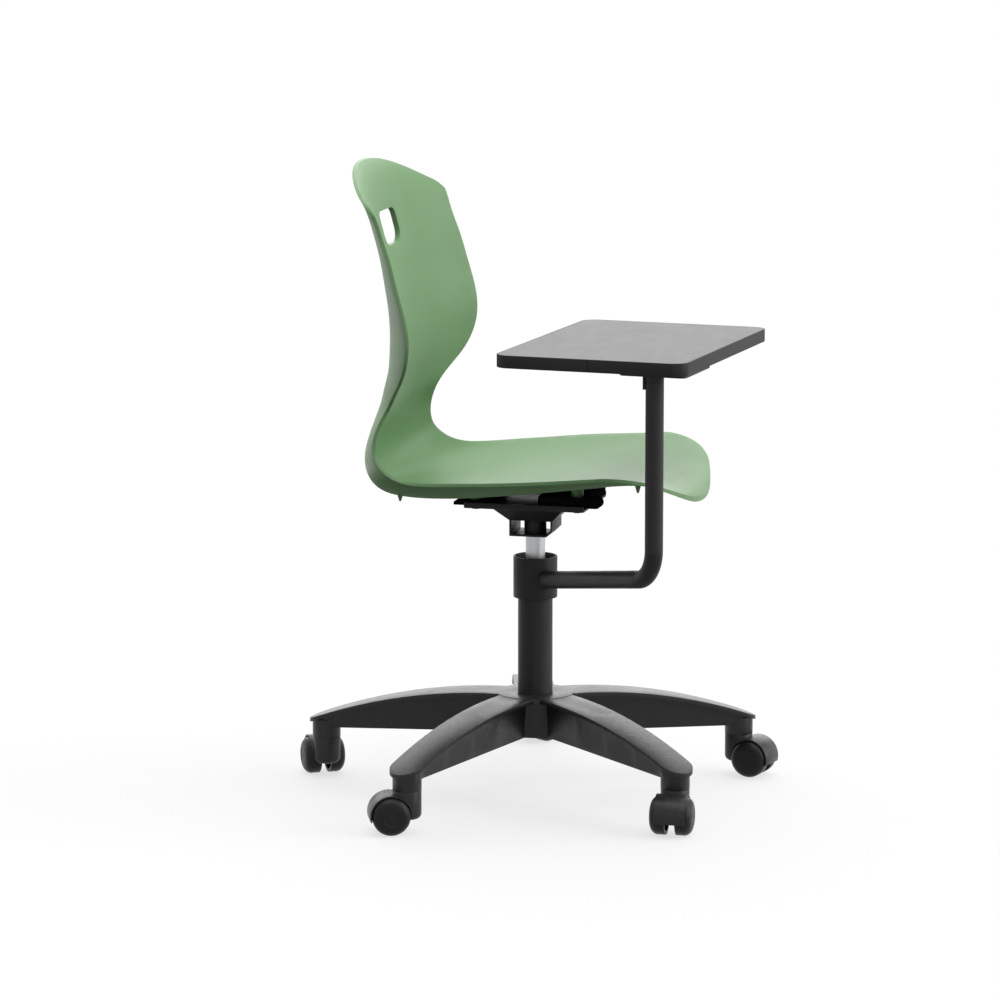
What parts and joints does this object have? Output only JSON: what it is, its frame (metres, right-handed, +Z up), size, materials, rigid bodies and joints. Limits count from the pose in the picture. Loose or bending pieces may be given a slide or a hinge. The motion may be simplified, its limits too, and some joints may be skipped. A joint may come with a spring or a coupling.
{
  "type": "writing tablet swivel chair",
  "caption": "Swivel chair with a one-piece green plastic shell, gas lift, star base on castors and a side arm that carries a writing tablet.",
  "frame": {"origin": "on the floor, on the axis of the column", "axes": "+Z up; the sitter faces -Y and the sitter's right is -X"},
  "size_m": [0.7056, 0.6885, 0.9105],
  "materials": {
    "shell_green": "satin moulded polypropylene with a fine grain",
    "nylon_black": "fine grained black nylon",
    "steel_black": "satin black powder coat",
    "cylinder_steel": "satin plated steel",
    "steel_bright": "ground steel",
    "steel_dark": "black oxide",
    "bush_plastic": "smooth acetal",
    "rubber_black": "dull rubber",
    "grip_black": "soft moulded grip",
    "castor_wheel": "smooth black nylon",
    "board_core": "pressed board",
    "laminate_grey": "fine textured grey laminate",
    "edge_black": "satin black edging"
  },
  "bodies": {
    "base": {"base_star": "nylon_black", "column_tube": "steel_black", "column_guide_bush": "bush_plastic", "bearing_lower_race": "steel_bright", "bearing_balls": "steel_bright"},
    "gas_rod": {"piston_rod": "steel_bright", "bearing_upper_race": "steel_bright", "buffer_ring": "rubber_black", "rod_clip": "steel_bright"},
    "seat": {"seat_shell": "shell_green", "gas_cylinder": "cylinder_steel", "cylinder_seal": "bush_plastic", "valve_body": "steel_bright", "taper_sleeve": "steel_black", "mechanism_housing": "steel_black", "seat_plate": "steel_black", "lever_bracket": "steel_black", "lever_pivot_pin": "steel_bright", "rear_spacer": "nylon_black", "front_spacer": "nylon_black", "seat_screws": "steel_dark"},
    "valve_button": {"valve_pin": "steel_bright"},
    "lever": {"lever_arm": "steel_black", "lever_grip": "grip_black"},
    "arm": {"arm_collar": "steel_black", "collar_bush": "bush_plastic", "arm_tube": "steel_black", "post_bush": "bush_plastic"},
    "tablet": {"tablet_board": "board_core", "tablet_laminate": "laminate_grey", "tablet_edge_band": "edge_black", "tablet_plate": "steel_black", "tablet_screws": "steel_dark", "tablet_spigot": "steel_black", "tablet_stop": "steel_black"},
    "castor_one": {"castor_one_housing": "nylon_black", "castor_one_stem": "steel_bright", "castor_one_axle": "steel_bright"},
    "castor_one_wheel_right": {"castor_one_wheel_right": "castor_wheel"},
    "castor_one_wheel_left": {"castor_one_wheel_left": "castor_wheel"},
    "castor_two": {"castor_two_housing": "nylon_black", "castor_two_stem": "steel_bright", "castor_two_axle": "steel_bright"},
    "castor_two_wheel_right": {"castor_two_wheel_right": "castor_wheel"},
    "castor_two_wheel_left": {"castor_two_wheel_left": "castor_wheel"},
    "castor_three": {"castor_three_housing": "nylon_black", "castor_three_stem": "steel_bright", "castor_three_axle": "steel_bright"},
    "castor_three_wheel_right": {"castor_three_wheel_right": "castor_wheel"},
    "castor_three_wheel_left": {"castor_three_wheel_left": "castor_wheel"},
    "castor_four": {"castor_four_housing": "nylon_black", "castor_four_stem": "steel_bright", "castor_four_axle": "steel_bright"},
    "castor_four_wheel_right": {"castor_four_wheel_right": "castor_wheel"},
    "castor_four_wheel_left": {"castor_four_wheel_left": "castor_wheel"},
    "castor_five": {"castor_five_housing": "nylon_black", "castor_five_stem": "steel_bright", "castor_five_axle": "steel_bright"},
    "castor_five_wheel_right": {"castor_five_wheel_right": "castor_wheel"},
    "castor_five_wheel_left": {"castor_five_wheel_left": "castor_wheel"}
  },
  "joints": [
    {"name": "seat_swivel", "type": "hinge", "parent": "base", "child": "gas_rod", "pos_m": [0, 0, 0.095], "axis": [0, 0, 1], "continuous": true},
    {"name": "seat_height", "type": "slide", "parent": "gas_rod", "child": "seat", "axis": [0, 0, 1], "range_m": [-0.025, 0.1]},
    {"name": "lever_lift", "type": "hinge", "parent": "seat", "child": "lever", "pos_m": [0.02, 0, 0.4085], "axis": [0, 1, 0], "range_deg": [-6, 0], "stiffness_Nm_per_rad": 2, "springref_deg": 2.86},
    {"name": "valve_press", "type": "slide", "parent": "seat", "child": "valve_button", "axis": [0, 0, 1], "range_m": [-0.0022, 0]},
    {"name": "arm_turn", "type": "hinge", "parent": "gas_rod", "child": "arm", "pos_m": [0, 0, 0.309], "axis": [0, 0, 1], "range_deg": [-22, 60]},
    {"name": "tablet_turn", "type": "hinge", "parent": "arm", "child": "tablet", "pos_m": [-0.239, -0.22522, 0.635], "axis": [0, 0, 1], "range_deg": [-120, 0]},
    {"name": "castor_one_swivel", "type": "hinge", "parent": "base", "child": "castor_one", "pos_m": [0.30697, 0.08455, 0.061], "axis": [0, 0, 1], "continuous": true},
    {"name": "castor_one_roll_right", "type": "hinge", "parent": "castor_one", "child": "castor_one_wheel_right", "pos_m": [0.32775, 0.07255, 0.027], "axis": [0.5, 0.866, 0], "continuous": true},
    {"name": "castor_one_roll_left", "type": "hinge", "parent": "castor_one", "child": "castor_one_wheel_left", "pos_m": [0.32775, 0.07255, 0.027], "axis": [0.5, 0.866, 0], "continuous": true},
    {"name": "castor_two_swivel", "type": "hinge", "parent": "base", "child": "castor_two", "pos_m": [0.01444, 0.31807, 0.061], "axis": [0, 0, 1], "continuous": true},
    {"name": "castor_two_roll_right", "type": "hinge", "parent": "castor_two", "child": "castor_two_wheel_right", "pos_m": [0.03512, 0.33025, 0.027], "axis": [-0.5075, 0.8616, 0], "continuous": true},
    {"name": "castor_two_roll_left", "type": "hinge", "parent": "castor_two", "child": "castor_two_wheel_left", "pos_m": [0.03512, 0.33025, 0.027], "axis": [-0.5075, 0.8616, 0], "continuous": true},
    {"name": "castor_three_swivel", "type": "hinge", "parent": "base", "child": "castor_three", "pos_m": [-0.29804, 0.11203, 0.061], "axis": [0, 0, 1], "continuous": true},
    {"name": "castor_three_roll_right", "type": "hinge", "parent": "castor_three", "child": "castor_three_wheel_right", "pos_m": [-0.30684, 0.13436, 0.027], "axis": [-0.9304, -0.3665, 0], "continuous": true},
    {"name": "castor_three_roll_left", "type": "hinge", "parent": "castor_three", "child": "castor_three_wheel_left", "pos_m": [-0.30684, 0.13436, 0.027], "axis": [-0.9304, -0.3665, 0], "continuous": true},
    {"name": "castor_four_swivel", "type": "hinge", "parent": "base", "child": "castor_four", "pos_m": [-0.19864, -0.24884, 0.061], "axis": [0, 0, 1], "continuous": true},
    {"name": "castor_four_roll_right", "type": "hinge", "parent": "castor_four", "child": "castor_four_wheel_right", "pos_m": [-0.22263, -0.24967, 0.027], "axis": [0.0349, -0.9994, 0], "continuous": true},
    {"name": "castor_four_roll_left", "type": "hinge", "parent": "castor_four", "child": "castor_four_wheel_left", "pos_m": [-0.22263, -0.24967, 0.027], "axis": [0.0349, -0.9994, 0], "continuous": true},
    {"name": "castor_five_swivel", "type": "hinge", "parent": "base", "child": "castor_five", "pos_m": [0.17527, -0.26582, 0.061], "axis": [0, 0, 1], "continuous": true},
    {"name": "castor_five_roll_right", "type": "hinge", "parent": "castor_five", "child": "castor_five_wheel_right", "pos_m": [0.17008, -0.28925, 0.027], "axis": [0.9763, -0.2164, 0], "continuous": true},
    {"name": "castor_five_roll_left", "type": "hinge", "parent": "castor_five", "child": "castor_five_wheel_left", "pos_m": [0.17008, -0.28925, 0.027], "axis": [0.9763, -0.2164, 0], "continuous": true}
  ],
  "couplings": [
    {"joint": "valve_press", "follows": "lever_lift", "m_per_rad": 0.02}
  ]
}
